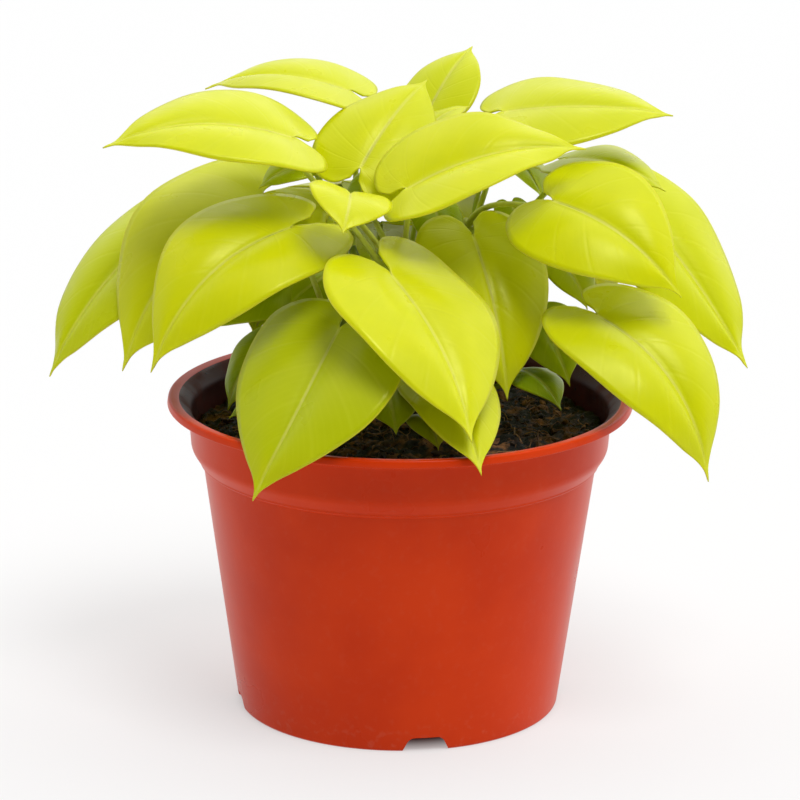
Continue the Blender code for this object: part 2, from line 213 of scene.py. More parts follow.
def add_piece(name, shape, looks, sharp_from=None):
    """Puts a finished shape in the scene as a piece that stands with the pot."""
    mesh = bpy.data.meshes.new(name)
    shape.to_mesh(mesh)
    shape.free()
    mesh.shade_smooth()
    if sharp_from:
        mesh.set_sharp_from_angle(angle=math.radians(sharp_from))
    for look in looks:
        mesh.materials.append(look)
    piece = bpy.data.objects.new(name, mesh)
    scene.collection.objects.link(piece)
    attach(piece, "root")
    return piece


flare = COLLAR - WALL
lip_inner = RIM - LIP_WIDTH
floor_top = FLOOR_LIFT + FLOOR_THICKNESS
pot_shape = turned_shape((
    (0.0, floor_top, 0.0),
    (body_radius(floor_top) - WALL, floor_top, 0.0016),
    (body_radius(SHOULDER) - WALL, SHOULDER, 0.0012),
    (flare, SHOULDER + SHOULDER_HEIGHT, 0.0020),
    (flare, POT_HEIGHT - 0.0040, 0.0016),
    (lip_inner + 0.0002, POT_HEIGHT - 0.0004, 0.0012),
    (RIM - 0.0004, POT_HEIGHT, 0.0009),
    (RIM, POT_HEIGHT - LIP_DEPTH, 0.0006),
    (RIM - 0.0011, POT_HEIGHT - LIP_DEPTH, 0.0004),
    (RIM - 0.0020, POT_HEIGHT - LIP_DEPTH + 0.0012, 0.0005),
    (COLLAR, POT_HEIGHT - LIP_DEPTH - 0.0014, 0.0016),
    (COLLAR - 0.0009, SHOULDER + SHOULDER_HEIGHT * 0.80, 0.0016),
    (COLLAR - SHOULDER_STEP + 0.0010, SHOULDER + 0.0004, 0.0004),
    (COLLAR - SHOULDER_STEP + 0.0009, SHOULDER - 0.0003, 0.0003),
    (body_radius(SHOULDER - 0.0012), SHOULDER - 0.0008, 0.0004),
    (body_radius(0.0006), 0.0006, 0.0005),
    (FOOT - 0.0004, 0.0, 0.0003),
    (FOOT - WALL - 0.0012, 0.0, 0.0004),
    (FOOT - WALL - 0.0012, FLOOR_LIFT, 0.0012),
    (0.0, FLOOR_LIFT, 0.0),
), TURNING_STEPS)
bmesh.ops.dissolve_degenerate(pot_shape, dist=0.000001, edges=pot_shape.edges)


def add_cutter(shape, name):
    mesh = bpy.data.meshes.new(name)
    shape.to_mesh(mesh)
    shape.free()
    cutter = bpy.data.objects.new(name, mesh)
    scene.collection.objects.link(cutter)
    return cutter


def notch_shape(turn):
    """A wedge with rounded edges, narrower at its top, through the foot ring."""
    shape = bmesh.new()
    bmesh.ops.create_cube(shape, size=1.0)
    for vert in shape.verts:
        high = vert.co.z > 0
        vert.co.x *= NOTCH_TOP if high else NOTCH_WIDTH + 0.002
        vert.co.y *= 0.012
        vert.co.z = NOTCH_HEIGHT if high else -0.002
    lengthwise = [e for e in shape.edges if abs(e.verts[0].co.y - e.verts[1].co.y) > 0.01]
    top = [e for e in lengthwise if e.verts[0].co.z > 0]
    bmesh.ops.bevel(shape, geom=top, offset=NOTCH_SOFTNESS, segments=4, profile=0.5,
                    affect="EDGES", material=-1)
    put = Matrix.Rotation(turn, 4, "Z") @ Matrix.Translation((0, -FOOT, 0))
    bmesh.ops.transform(shape, matrix=put, verts=shape.verts)
    return shape


def drain_shape(x, y, radius):
    shape = bmesh.new()
    bmesh.ops.create_cone(shape, cap_ends=True, segments=32, radius1=radius, radius2=radius,
                          depth=FLOOR_THICKNESS * 6, matrix=Matrix.Translation((x, y, floor_top)))
    return shape


pot_cutters = [add_cutter(notch_shape(NOTCH_TURN + math.tau * n / NOTCH_COUNT), "notch")
               for n in range(NOTCH_COUNT)]
for n in range(DRAIN_COUNT):
    turn = math.tau * (n + 0.5) / DRAIN_COUNT + NOTCH_TURN
    x, y = DRAIN_CIRCLE * math.cos(turn), DRAIN_CIRCLE * math.sin(turn)
    pot_cutters.append(add_cutter(drain_shape(x, y, DRAIN_RADIUS), "drain"))
pot_cutters.append(add_cutter(drain_shape(0.0, 0.0, MIDDLE_DRAIN_RADIUS), "drain"))

pot_plastic = bpy.data.materials.new("brick_red_plastic")
pot = add_piece("nursery_pot", pot_shape, [pot_plastic])
for cutter in pot_cutters:
    cut = pot.modifiers.new("cut", "BOOLEAN")
    cut.operation = "DIFFERENCE"
    cut.solver = "EXACT"
    cut.object = cutter
bpy.context.view_layer.update()
cut_pot = pot.evaluated_get(bpy.context.evaluated_depsgraph_get())
cut_mesh = bpy.data.meshes.new_from_object(cut_pot)
pot.modifiers.clear()
pot.data = cut_mesh
cut_mesh.name = "nursery_pot"
cut_mesh.shade_smooth()
cut_mesh.set_sharp_from_angle(angle=SHARP_EDGE)
for cutter in pot_cutters:
    bpy.data.objects.remove(cutter, do_unlink=True)
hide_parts("pot")


def start_look(material, roughness):
    """Clears a material to its shader, and gives the shader, the tree and a maker of nodes."""
    material.use_nodes = True
    tree = material.node_tree
    shader = tree.nodes["Principled BSDF"]
    shader.inputs["Roughness"].default_value = roughness

    def add(kind, inputs=None, **settings):
        made = tree.nodes.new(kind)
        for key, value in settings.items():
            setattr(made, key, value)
        for key, value in (inputs or {}).items():
            if isinstance(value, bpy.types.NodeSocket):
                tree.links.new(value, made.inputs[key])
            else:
                made.inputs[key].default_value = value
        return made

    def join(output, shader_input):
        tree.links.new(output, shader.inputs[shader_input])

    return shader, add, join


def new_group(name, sockets_in, sockets_out):
    """An empty node group with its sockets, for an effect that several finishes share."""
    group = bpy.data.node_groups.new(name, "ShaderNodeTree")
    for label, kind, value in sockets_in:
        socket = group.interface.new_socket(name=label, in_out="INPUT", socket_type=kind)
        if value is not None:
            socket.default_value = value
    for label, kind in sockets_out:
        group.interface.new_socket(name=label, in_out="OUTPUT", socket_type=kind)
    return group, group.nodes.new("NodeGroupInput"), group.nodes.new("NodeGroupOutput")


# Soft blotches of tone over a surface: 0 to 1, at a size the finish sets.
blotches, blotch_in, blotch_out = new_group(
    "blotches",
    (("Vector", "NodeSocketVector", None), ("Scale", "NodeSocketFloat", 60.0),
     ("Detail", "NodeSocketFloat", 3.0), ("Low", "NodeSocketFloat", 0.35),
     ("High", "NodeSocketFloat", 0.65)),
    (("Tone", "NodeSocketFloat"),))
blotch_noise = blotches.nodes.new("ShaderNodeTexNoise")
blotch_range = blotches.nodes.new("ShaderNodeMapRange")
blotch_range.interpolation_type = "SMOOTHSTEP"
blotches.links.new(blotch_in.outputs["Vector"], blotch_noise.inputs["Vector"])
blotches.links.new(blotch_in.outputs["Scale"], blotch_noise.inputs["Scale"])
blotches.links.new(blotch_in.outputs["Detail"], blotch_noise.inputs["Detail"])
blotches.links.new(blotch_noise.outputs["Fac"], blotch_range.inputs["Value"])
blotches.links.new(blotch_in.outputs["Low"], blotch_range.inputs["From Min"])
blotches.links.new(blotch_in.outputs["High"], blotch_range.inputs["From Max"])
blotches.links.new(blotch_range.outputs["Result"], blotch_out.inputs["Tone"])


def add_blotches(add, vector, scale, detail=3.0, low=0.35, high=0.65):
    made = add("ShaderNodeGroup", node_tree=blotches)
    for key, value in (("Scale", scale), ("Detail", detail), ("Low", low), ("High", high)):
        made.inputs[key].default_value = value
    made.id_data.links.new(vector, made.inputs["Vector"])
    return made.outputs["Tone"]


def blend_colours(add, share, first, second):
    """The first colour, going over to the second as the share rises from 0 to 1."""
    made = add("ShaderNodeMix", data_type="RGBA", inputs={0: share, 6: first, 7: second})
    return made.outputs[2]


def spread(add, value, low, high, to_low=0.0, to_high=1.0):
    """Eases a value from one range to another."""
    made = add("ShaderNodeMapRange", interpolation_type="SMOOTHSTEP",
               inputs={"From Min": low, "From Max": high, "To Min": to_low, "To Max": to_high})
    made.id_data.links.new(value, made.inputs["Value"])
    return made.outputs["Result"]


def times_plus(add, value, factor, plus=0.0):
    """A value times a factor, plus a number or another value."""
    made = add("ShaderNodeMath", operation="MULTIPLY_ADD", inputs={0: value, 1: factor, 2: plus})
    return made.outputs[0]


# The plastic: an even brick red, slightly cloudy where it flowed into the mould, with a fine
# grain, a few hairline scuffs and a little dried splash near the foot.
shader, add, join = start_look(pot_plastic, 0.30)
shader.inputs["Specular IOR Level"].default_value = 0.11
where = add("ShaderNodeTexCoord").outputs["Object"]
cloud = add_blotches(add, where, 28.0, 4.0, 0.30, 0.70)
red = blend_colours(add, cloud, (0.600, 0.034, 0.0008, 1), (0.680, 0.045, 0.0016, 1))
long_way = add("ShaderNodeMapping", inputs={"Vector": where, "Scale": (1.0, 1.0, 0.12)})
scuffs = add_blotches(add, long_way.outputs["Vector"], 900.0, 2.0, 0.70, 0.80)
dust = add_blotches(add, where, 420.0, 6.0, 0.52, 0.72)
height = add("ShaderNodeSeparateXYZ", inputs={"Vector": where}).outputs["Z"]
low_down = spread(add, height, 0.000, 0.016, 0.09, 0.02)
film = times_plus(add, dust, low_down)
join(blend_colours(add, film, red, (0.62, 0.32, 0.24, 1)), "Base Color")
worn = times_plus(add, scuffs, 0.10, 0.27)
join(times_plus(add, cloud, 0.06, worn), "Roughness")
grain = add("ShaderNodeTexNoise", inputs={"Vector": where, "Scale": 1800.0, "Detail": 2.0})
ripple = add("ShaderNodeTexNoise", inputs={"Vector": where, "Scale": 55.0, "Detail": 1.0})
surface = times_plus(add, grain.outputs["Fac"], 0.05, ripple.outputs["Fac"])
relief = add("ShaderNodeBump",
             inputs={"Strength": 0.35, "Distance": 0.0006, "Height": surface})
join(relief.outputs["Normal"], "Normal")


# The inside wall above the mix: the same plastic, dull, and painted a dark maroon as painted shade
# for the shade that falls inside the pot.
inner_wall_shade_look = bpy.data.materials.new("inner_wall_painted_shade")
shader, add, join = start_look(inner_wall_shade_look, 0.55)
shader.inputs["Specular IOR Level"].default_value = 0.2
where = add("ShaderNodeTexCoord").outputs["Object"]
# Painted shade: the inside wall gets a mottled dark maroon in place of its brick red, with darker
# specks.
shade_mottle = add_blotches(add, where, 90.0, 5.0, 0.35, 0.70)
painted_shade = blend_colours(add, shade_mottle, (0.050, 0.0060, 0.0025, 1), (0.095, 0.0110, 0.0040, 1))
specks = add_blotches(add, where, 700.0, 3.0, 0.62, 0.72)
painted_shade = blend_colours(add, specks, painted_shade, (0.012, 0.006, 0.004, 1))
join(painted_shade, "Base Color")
join(spread(add, shade_mottle, 0.0, 1.0, 0.45, 0.70), "Roughness")
relief = add("ShaderNodeBump", inputs={"Strength": 0.3, "Distance": 0.0004, "Height": specks})
join(relief.outputs["Normal"], "Normal")
pot.data.materials.append(inner_wall_shade_look)
# The inward-facing faces above the mix take the painted shade.
for face in pot.data.polygons:
    outward = Vector((face.center.x, face.center.y, 0.0)).normalized()
    if face.center.z > floor_top + 0.002 and face.normal.dot(outward) < -0.3:
        face.material_index = 1


# ---- Potting mix -------------------------------------------------------------------------
# Damp black peat with coir fibre and bits of bark, filled to a finger's width under the rim.
# The bed is one body; the crumbs, chips and fibres lie loose on it.

MIX_DROP = 0.012
MIX_CROWN = 0.003
MIX_GAP = 0.0004
MIX_SQUARES = 190
CRUMB_COUNT = 900
FIBRE_COUNT = 330
MIX_LEVEL = POT_HEIGHT - MIX_DROP
MIX_EDGE = COLLAR - WALL - MIX_GAP

mix_look = bpy.data.materials.new("damp_peat")


def mix_height(x, y):
    """Top of the bed: a low crown, lumpy, and sunk a little at the wall."""
    reach = math.hypot(x, y) / MIX_EDGE
    place = Vector((x, y, 0.0))
    lumps = noise.fractal(place * 210, 0.7, 2.2, 5) * 0.0017 + noise.noise(place * 60) * 0.0014
    return MIX_LEVEL + MIX_CROWN * (1 - reach ** 2) * 0.8 + lumps - 0.0006


mix_shape = bmesh.new()
bmesh.ops.create_grid(mix_shape, x_segments=MIX_SQUARES, y_segments=MIX_SQUARES, size=1.0)
for vert in mix_shape.verts:
    u, v = vert.co.x, vert.co.y
    vert.co.x = u * math.sqrt(1 - v * v / 2) * MIX_EDGE
    vert.co.y = v * math.sqrt(1 - u * u / 2) * MIX_EDGE
    vert.co.z = mix_height(vert.co.x, vert.co.y)
brim = [e for e in mix_shape.edges if e.is_boundary]
for low, reach in ((SHOULDER + SHOULDER_HEIGHT + 0.0006, MIX_EDGE),
                   (SHOULDER, body_radius(SHOULDER) - WALL - 0.0005),
                   (floor_top + MIX_GAP, body_radius(floor_top) - WALL - 0.0020)):
    skirt = bmesh.ops.extrude_edge_only(mix_shape, edges=brim)["geom"]
    brim = [e for e in skirt if isinstance(e, bmesh.types.BMEdge) and e.is_boundary]
    for vert in [v for v in skirt if isinstance(v, bmesh.types.BMVert)]:
        turn = math.atan2(vert.co.y, vert.co.x)
        vert.co = (reach * math.cos(turn), reach * math.sin(turn), low)
bmesh.ops.contextual_create(mix_shape, geom=brim)
bmesh.ops.recalc_face_normals(mix_shape, faces=mix_shape.faces)
mix = add_piece("potting_mix_bed", mix_shape, [mix_look])
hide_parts("potting_mix")

shader, add, join = start_look(mix_look, 0.9)
where = add("ShaderNodeTexCoord").outputs["Object"]
clumps = add_blotches(add, where, 120.0, 10.0, 0.50, 0.66)
brown = blend_colours(add, clumps, (0.0030, 0.0016, 0.0010, 1), (0.290, 0.128, 0.0420, 1))
flecks = add("ShaderNodeTexVoronoi", inputs={"Vector": where, "Scale": 620.0})
fleck_share = spread(add, flecks.outputs["Distance"], 0.02, 0.16, 0.35, 0.0)
brown = blend_colours(add, fleck_share, brown, (0.115, 0.055, 0.028, 1))
join(brown, "Base Color")
join(spread(add, clumps, 0.0, 1.0, 0.72, 0.95), "Roughness")
crumble = add("ShaderNodeTexNoise",
              inputs={"Vector": where, "Scale": 900.0, "Detail": 8.0, "Roughness": 0.7})
relief = add("ShaderNodeBump",
             inputs={"Strength": 1.0, "Distance": 0.0012, "Height": crumble.outputs["Fac"]})
join(relief.outputs["Normal"], "Normal")


def sweep(shape, route, radii, sides):
    """Carries a ring along a route, setting its radius at each point, and closes both ends."""
    ring = bmesh.ops.create_circle(shape, cap_ends=False, segments=sides, radius=1.0)["verts"]
    edges = list({e for v in ring for e in v.link_edges})
    first = list(edges)
    heading = (route[1] - route[0]).normalized()
    turn = heading.to_track_quat("Z", "Y")
    held = Matrix.Identity(4)
    faces = []
    for here, (place, radius) in enumerate(zip(route, radii)):
        if here:
            made = bmesh.ops.extrude_edge_only(shape, edges=edges)["geom"]
            ring = [g for g in made if isinstance(g, bmesh.types.BMVert)]
            faces += [g for g in made if isinstance(g, bmesh.types.BMFace)]
            edges = [g for g in made if isinstance(g, bmesh.types.BMEdge) and g.is_boundary]
            behind = route[here] - route[here - 1]
            ahead = route[min(here + 1, len(route) - 1)] - route[here]
            new_heading = (behind.normalized() + ahead.normalized()).normalized()
            turn = heading.rotation_difference(new_heading) @ turn
            heading = new_heading
        put = Matrix.Translation(place) @ turn.to_matrix().to_4x4() @ Matrix.Scale(radius, 4)
        bmesh.ops.transform(shape, matrix=put @ held.inverted(), verts=ring)
        held = put
    for rim in (first, edges):
        faces += bmesh.ops.contextual_create(shape, geom=rim)["faces"]
    return faces


chance = random.Random(7)


def on_the_mix(spread_out=0.97):
    """A place on the bed, and its height there."""
    reach = MIX_EDGE * spread_out * math.sqrt(chance.random())
    angle = chance.random() * math.tau
    x, y = reach * math.cos(angle), reach * math.sin(angle)
    return Vector((x, y, mix_height(x, y)))


def off_centre():
    return chance.random() - 0.5


crumb_shape = bmesh.new()
crumb_tone = crumb_shape.verts.layers.float.new("tone")
for _ in range(CRUMB_COUNT):
    place = on_the_mix()
    size = 0.0005 + 0.0018 * chance.random() ** 2.0
    squash = Vector((1.0, 0.6 + 0.4 * chance.random(), 0.35 + 0.4 * chance.random()))
    put = (Matrix.Translation(place + Vector((0, 0, size * 0.15)))
           @ Matrix.Rotation(chance.random() * math.tau, 4, Vector((off_centre(), off_centre(), 1)))
           @ Matrix.Diagonal((*(squash * size), 1.0)))
    made = bmesh.ops.create_icosphere(crumb_shape, subdivisions=1, radius=1.0, matrix=put)["verts"]
    tone = chance.random() ** 1.6
    for vert in made:
        vert.co += Vector((off_centre(), off_centre(), off_centre())) * size * 0.5
        vert[crumb_tone] = tone

crumb_look = bpy.data.materials.new("bark_crumbs")
crumbs = add_piece("bark_crumbs", crumb_shape, [crumb_look], sharp_from=25)
shader, add, join = start_look(crumb_look, 0.85)
where = add("ShaderNodeTexCoord").outputs["Object"]
tone = add("ShaderNodeAttribute", attribute_name="tone").outputs["Fac"]
grainy = add_blotches(add, where, 900.0, 4.0, 0.35, 0.65)
bark = blend_colours(add, tone, (0.006, 0.0030, 0.0020, 1), (0.330, 0.150, 0.055, 1))
bark = blend_colours(add, spread(add, grainy, 0.0, 1.0, 0.0, 0.55), bark, (0.018, 0.010, 0.007, 1))
join(bark, "Base Color")
relief = add("ShaderNodeBump", inputs={"Strength": 0.8, "Distance": 0.0004, "Height": grainy})
join(relief.outputs["Normal"], "Normal")

fibre_shape = bmesh.new()
fibre_tone = fibre_shape.verts.layers.float.new("tone")
for _ in range(FIBRE_COUNT):
    place = on_the_mix(0.9)
    angle = chance.random() * math.tau
    bend = off_centre() * 2.6
    length = 0.003 + 0.011 * chance.random() ** 1.6
    route = []
    for step in range(6):
        x, y = place.x, place.y
        hump = math.sin(step / 5 * math.pi) * length * 0.16 * chance.random()
        route.append(Vector((x, y, mix_height(x, y) + 0.0002 + hump)))
        place += Vector((math.cos(angle), math.sin(angle), 0.0)) * length / 5
        if place.xy.length > MIX_EDGE * 0.96:
            break
        angle += bend / 5
    if len(route) < 4:
        continue
    thick = 0.00010 + 0.00016 * chance.random()
    faces = sweep(fibre_shape, route, [thick] * len(route), 4)
    tone = chance.random()
    for vert in {v for face in faces for v in face.verts}:
        vert[fibre_tone] = tone

fibre_look = bpy.data.materials.new("coir_fibre")
fibres = add_piece("coir_fibres", fibre_shape, [fibre_look])
shader, add, join = start_look(fibre_look, 0.75)
where = add("ShaderNodeTexCoord").outputs["Object"]
tone = add("ShaderNodeAttribute", attribute_name="tone").outputs["Fac"]
coir = blend_colours(add, tone, (0.070, 0.028, 0.010, 1), (0.420, 0.220, 0.085, 1))
streaky = add_blotches(add, where, 700.0, 3.0, 0.30, 0.70)
coir = blend_colours(add, spread(add, streaky, 0.0, 1.0, 0.0, 0.5), coir, (0.05, 0.024, 0.012, 1))
join(coir, "Base Color")


# ---- Vines -------------------------------------------------------------------------------
# Five short green vines, cut and planted together. Each thickens a little at the joints that
# the leaf stalks leave, and its cut end is down in the mix.

MM = 0.001
VINE_RADIUS = 0.0021
VINE_DEPTH = 0.022
VINE_STEPS = 40

# Points up each vine, in millimetres from the middle of the pot's mouth.
VINES = {
    "stem_1": ((-13, -8, -12), (-14, -10, 6), (-18, -11, 22), (-19, -14, 36)),
    "stem_2": ((13, -9, -12), (15, -9, 6), (16, -12, 20), (18, -14, 33)),
    "stem_3": ((-11, 12, -12), (-13, 14, 8), (-12, 18, 26), (-16, 20, 44)),
    "stem_4": ((13, 12, -12), (15, 13, 8), (19, 16, 28), (20, 22, 52)),
    "stem_5": ((0, 1, -12), (1, 2, 10), (-1, 1, 30), (1, 3, 48)),
}


def in_the_mouth(point):
    return Vector((point[0] * MM, point[1] * MM, POT_HEIGHT + point[2] * MM))


def smooth_through(points, count):
    """Evenly numbered points on a smooth curve through the given ones."""
    knots = [Vector(p) for p in points]
    knots = [knots[0] * 2 - knots[1], *knots, knots[-1] * 2 - knots[-2]]
    route = []
    for step in range(count):
        along = step / (count - 1) * (len(knots) - 3)
        span = min(int(along), len(knots) - 4)
        t = along - span
        a, b, c, d = knots[span:span + 4]
        route.append(0.5 * ((2 * b) + (c - a) * t + (2 * a - 5 * b + 4 * c - d) * t ** 2
                            + (3 * b - a - 3 * c + d) * t ** 3))
    return route


vine_look = bpy.data.materials.new("green_vine")
for name, points in VINES.items():
    above = smooth_through([in_the_mouth(p) for p in points], VINE_STEPS + 1)
    buried = [above[0] - Vector((0, 0, depth)) for depth in (VINE_DEPTH, VINE_DEPTH / 2, 0.002)]
    route = buried + above
    radii = [VINE_RADIUS] * 3
    for step in range(VINE_STEPS + 1):
        joint = max(0.0, math.cos((step / VINE_STEPS * 5.5 + 0.4) * math.tau)) ** 8
        end = max(0.0, (step + 3 - VINE_STEPS) / 3)
        radii.append(VINE_RADIUS * (0.90 + 0.16 * joint - 0.35 * end))
    vine_shape = bmesh.new()
    sweep(vine_shape, route, radii, 14)
    bmesh.ops.recalc_face_normals(vine_shape, faces=vine_shape.faces)
    vine = add_piece(name.replace("stem", "vine"), vine_shape, [vine_look], sharp_from=60)
    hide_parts(name)

shader, add, join = start_look(vine_look, 0.42)
where = add("ShaderNodeTexCoord").outputs["Object"]
upright = add("ShaderNodeMapping", inputs={"Vector": where, "Scale": (1.0, 1.0, 0.10)})
streaks = add_blotches(add, upright.outputs["Vector"], 700.0, 3.0, 0.35, 0.65)
green = blend_colours(add, streaks, (0.130, 0.200, 0.012, 1), (0.300, 0.370, 0.025, 1))
height = add("ShaderNodeSeparateXYZ", inputs={"Vector": where}).outputs["Z"]
low_part = spread(add, height, 0.092, 0.106, 0.75, 0.0)
join(blend_colours(add, low_part, green, (0.115, 0.070, 0.022, 1)), "Base Color")
relief = add("ShaderNodeBump", inputs={"Strength": 0.4, "Distance": 0.0003, "Height": streaks})
join(relief.outputs["Normal"], "Normal")


# ---- Leaves ------------------------------------------------------------------------------
# Heart-shaped lime blades, each grown as one with the slim stalk that carries it. The blade is
# thin and waxy, sunk along the midrib, arched down to a drip tip and a little wavy at its edge.

BLADE_THICKNESS = 0.0005
LONGEST_STEP = 0.005
PUFF = 0.038
WAVE, SMALL_WAVE = 0.010, 0.004
STALK_RADIUS = 0.00105
STALK_GAP = 0.0003
STALK_STEPS = 14
RIB_START, RIB_LENGTH = 0.05, 0.80
RIB_STEPS = 12

# One half of the blade, 1 long from the notch to the tip: (along, across, along the midrib
# where the side vein to that point leaves).
HEART_EDGE = (
    (-0.100, 0.032, 0.000),
    (-0.165, 0.122, 0.000),
    (-0.142, 0.255, 0.010),
    (-0.035, 0.356, 0.045),
    (0.120, 0.402, 0.115),
    (0.300, 0.395, 0.235),
    (0.490, 0.345, 0.410),
    (0.670, 0.245, 0.590),
    (0.795, 0.146, 0.730),
    (0.880, 0.062, 0.835),
    (0.940, 0.018, 0.915),
    (1.000, 0.000, 1.000),
)

# Name, vine, how far up it, notch and tip in millimetres from the middle of the pot's mouth,
# roll in degrees, width, arch, fold, curl, and greenness from 0, lime, to 1, deep green; the deep
# green is partly older leaves and partly painted shade on leaves that sit in shade.
LEAVES = (
    ("leaf_01", "stem_1", 0.90, (-3, -38, 49), (22, -78, 7), -5, 1.06, 0.06, 0.00, 0.10, 0.05),
    ("leaf_02", "stem_2", 0.45, (12, -36, 16), (25, -79, -3), 0, 0.76, 0.08, 0.00, 0.10, 0.15),
    ("leaf_03", "stem_2", 0.72, (23, 1, 52), (34, -25, 5), 3, 0.96, 0.08, 0.00, 0.10, 0.15),
    ("leaf_04", "stem_1", 0.55, (-19, -40, 32), (-45, -72, -14), -4, 1.16, 0.07, 0.00, 0.10, 0.45),
    ("leaf_05", "stem_1", 0.75, (-35, -14, 58), (-78, -38, 17), -24, 0.92, 0.16, 0.04, 0.10, 0.05),
    ("leaf_06", "stem_3", 0.60, (-45, 19, 61), (-89, -8, 9), -22, 0.98, 0.14, 0.00, 0.10, 0.12),
    ("leaf_07", "stem_3", 0.42, (-76, 26, 50), (-114, 10, 2), -14, 0.84, 0.08, 0.00, 0.10, 0.35),
    ("leaf_08", "stem_5", 0.80, (-35, 0, 84), (-94, -12, 83), -18, 0.95, 0.10, 0.03, 0.05, 0.10),
    ("leaf_09", "stem_3", 0.95, (-18, 41, 91), (-65, 52, 89), -6, 0.98, 0.10, 0.06, 0.05, 0.15),
    ("leaf_10", "stem_5", 0.95, (-13, 3, 74), (8, 35, 96), 20, 1.10, 0.06, -0.20, 0.10, 0.10),
    ("leaf_11", "stem_5", 1.00, (2, -14, 71), (58, -8, 83), 22, 0.95, 0.08, 0.16, 0.00, 0.05),
    ("leaf_12", "stem_4", 0.95, (9, 42, 85), (23, 62, 102), 0, 1.18, 0.06, 0.00, 0.10, 0.20),
    ("leaf_13", "stem_4", 0.97, (33, 28, 87), (87, 20, 88), 18, 1.05, 0.05, -0.05, 0.10, 0.15),
    ("leaf_14", "stem_4", 0.70, (54, 36, 70), (85, 16, 64), 10, 0.90, 0.10, 0.00, 0.10, 0.30),
    ("leaf_15", "stem_4", 1.00, (48, -8, 66), (88, -28, 40), 38, 1.08, 0.12, 0.00, 0.10, 0.05),
    ("leaf_16", "stem_4", 0.54, (75, 22, 59), (112, 2, 9), 20, 0.82, 0.03, 0.00, 0.10, 0.20),
    ("leaf_17", "stem_4", 0.48, (62, -20, 32), (97, -42, -16), 22, 0.86, 0.16, 0.02, 0.05, 0.15),
    ("leaf_18", "stem_5", 0.86, (-16, -22, 71), (-18, -41, 63), -16, 1.60, 0.10, 0.20, 0.10, 0.05),
    ("leaf_19", "stem_5", 0.70, (9, 26, 83), (22, 32, 88), 0, 1.20, 0.08, 0.00, 0.10, 0.20),
    ("leaf_20", "stem_5", 0.60, (-2, 19, 67), (-20, 13, 55), -30, 1.10, 0.08, 0.00, 0.20, 0.75),
    ("leaf_21", "stem_3", 1.00, (-30, 17, 73), (-46, 11, 65), -20, 1.00, 0.08, 0.00, 0.20, 0.60),
    ("leaf_22", "stem_3", 0.72, (-22, 8, 54), (-36, 0, 43), -20, 0.95, 0.08, 0.00, 0.20, 0.50),
    ("leaf_23", "stem_4", 0.70, (10, 12, 60), (15, 0, 42), 0, 1.00, 0.08, 0.00, 0.20, 0.80),
    ("leaf_24", "stem_4", 0.82, (36, 22, 57), (41, 14, 40), 0, 0.95, 0.08, 0.00, 0.20, 0.75),
    ("leaf_25", "stem_3", 0.22, (-36, 5, 36), (-62, -6, 22), -30, 0.95, 0.10, 0.00, 0.20, 0.75),
    ("leaf_26", "stem_1", 0.30, (-42, -9, 20), (-55, -14, -2), -20, 0.95, 0.10, 0.00, 0.20, 0.85),
    ("leaf_27", "stem_1", 0.16, (-38, -25, 7), (-54, -30, 0), -30, 0.80, 0.10, 0.00, 0.20, 0.90),
    ("leaf_28", "stem_3", 0.40, (-19, 2, 41), (-36, -8, 31), -30, 1.00, 0.08, 0.00, 0.20, 0.80),
    ("leaf_29", "stem_1", 0.20, (-5, -34, 12), (-1, -60, 4), 0, 1.00, 0.10, 0.00, 0.20, 0.70),
    ("leaf_30", "stem_2", 0.20, (8, -45, 6), (12, -63, 0), 0, 0.90, 0.10, 0.00, 0.20, 0.65),
    ("leaf_31", "stem_2", 0.15, (38, -2, 9), (51, -28, 3), 0, 0.80, 0.10, 0.00, 0.20, 1.00),
    ("leaf_32", "stem_2", 0.40, (44, 6, 26), (54, -18, 8), 10, 0.95, 0.10, 0.00, 0.20, 0.80),
    ("leaf_33", "stem_4", 0.42, (52, 15, 41), (60, 2, 28), 0, 1.10, 0.10, 0.00, 0.20, 0.50),
    ("leaf_34", "stem_4", 0.74, (31, 44, 71), (48, 73, 47), 10, 0.95, 0.10, 0.00, 0.20, 0.60),
    ("leaf_35", "stem_3", 0.33, (-62, 20, 40), (-88, 8, 17), -10, 0.80, 0.10, 0.00, 0.20, 0.50),
    ("leaf_36", "stem_3", 0.70, (-20, 42, 60), (-32, 78, 26), 0, 0.92, 0.12, 0.00, 0.10, 0.25),
    ("leaf_37", "stem_4", 0.58, (8, 44, 57), (10, 80, 20), 0, 0.84, 0.12, 0.00, 0.10, 0.30),
    ("leaf_38", "stem_4", 0.50, (44, 42, 46), (70, 72, 8), 0, 0.90, 0.12, 0.00, 0.10, 0.35),
    ("leaf_39", "stem_3", 0.80, (-48, 44, 46), (-80, 66, 12), 0, 0.85, 0.12, 0.00, 0.10, 0.35),
    ("leaf_40", "stem_3", 0.12, (-7, 44, 46), (-9, 79, 13), 0, 0.90, 0.12, 0.00, 0.20, 0.60),
    ("leaf_41", "stem_4", 0.25, (30, 36, 26), (50, 60, 3), 0, 0.80, 0.12, 0.00, 0.20, 0.70),
    ("leaf_42", "stem_3", 0.22, (-32, 32, 26), (-50, 54, 4), 0, 0.85, 0.12, 0.00, 0.20, 0.70),
)

STATIONS = 46
ACROSS = 22
edge_stations = smooth_through(HEART_EDGE, STATIONS + 1)


def blade_directions(base, tip, roll):
    chord = tip - base
    along = chord.normalized()
    up = Vector((0, 0, 1))
    normal = (up - along * along.dot(up)).normalized()
    normal.rotate(Matrix.Rotation(math.radians(roll), 3, along))
    return chord.length, along, normal.cross(along), normal


def blade_rise(x, y, arch, fold, curl):
    return 4 * arch * x * (1 - x) + fold * abs(y) - curl * y ** 2


